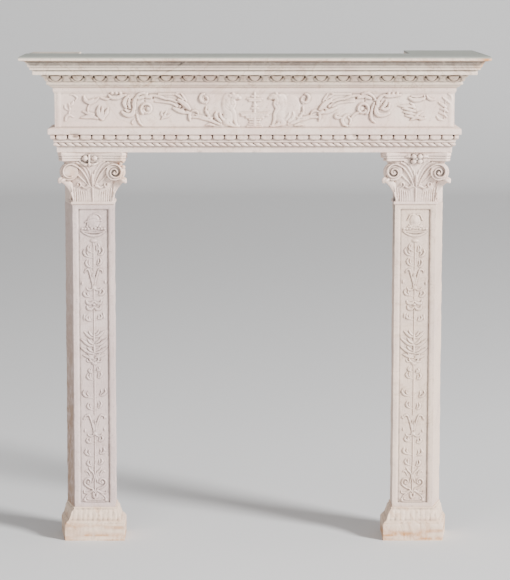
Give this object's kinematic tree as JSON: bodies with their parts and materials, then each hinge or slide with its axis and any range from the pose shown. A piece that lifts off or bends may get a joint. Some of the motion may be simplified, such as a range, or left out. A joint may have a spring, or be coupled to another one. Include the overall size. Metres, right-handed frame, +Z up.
{
  "type": "fireplace mantel",
  "caption": "Carved marble fireplace mantel with pilaster legs, scrolled leaf capitals, carved frieze and a moulded shelf with tails at the back",
  "frame": {"origin": "on the floor, under the middle of the whole mantel's box, tails included", "axes": "+X to the viewer's right along the shelf, +Y towards the wall, +Z up"},
  "size_m": [1.4538, 0.516, 1.55],
  "materials": {
    "pale_marble": "honed pale pinkish marble",
    "shelf_marble": "honed pale marble with a dull top",
    "greyed_marble": "honed greyed marble",
    "stained_marble": "worn marble with ochre stains"
  },
  "bodies": {
    "root": {"left_base": "stained_marble", "right_base": "stained_marble", "left_shaft": "greyed_marble", "right_shaft": "greyed_marble", "left_capital": "pale_marble", "right_capital": "pale_marble", "lintel": "pale_marble", "cornice_shelf": "shelf_marble"}
  },
  "joints": []
}
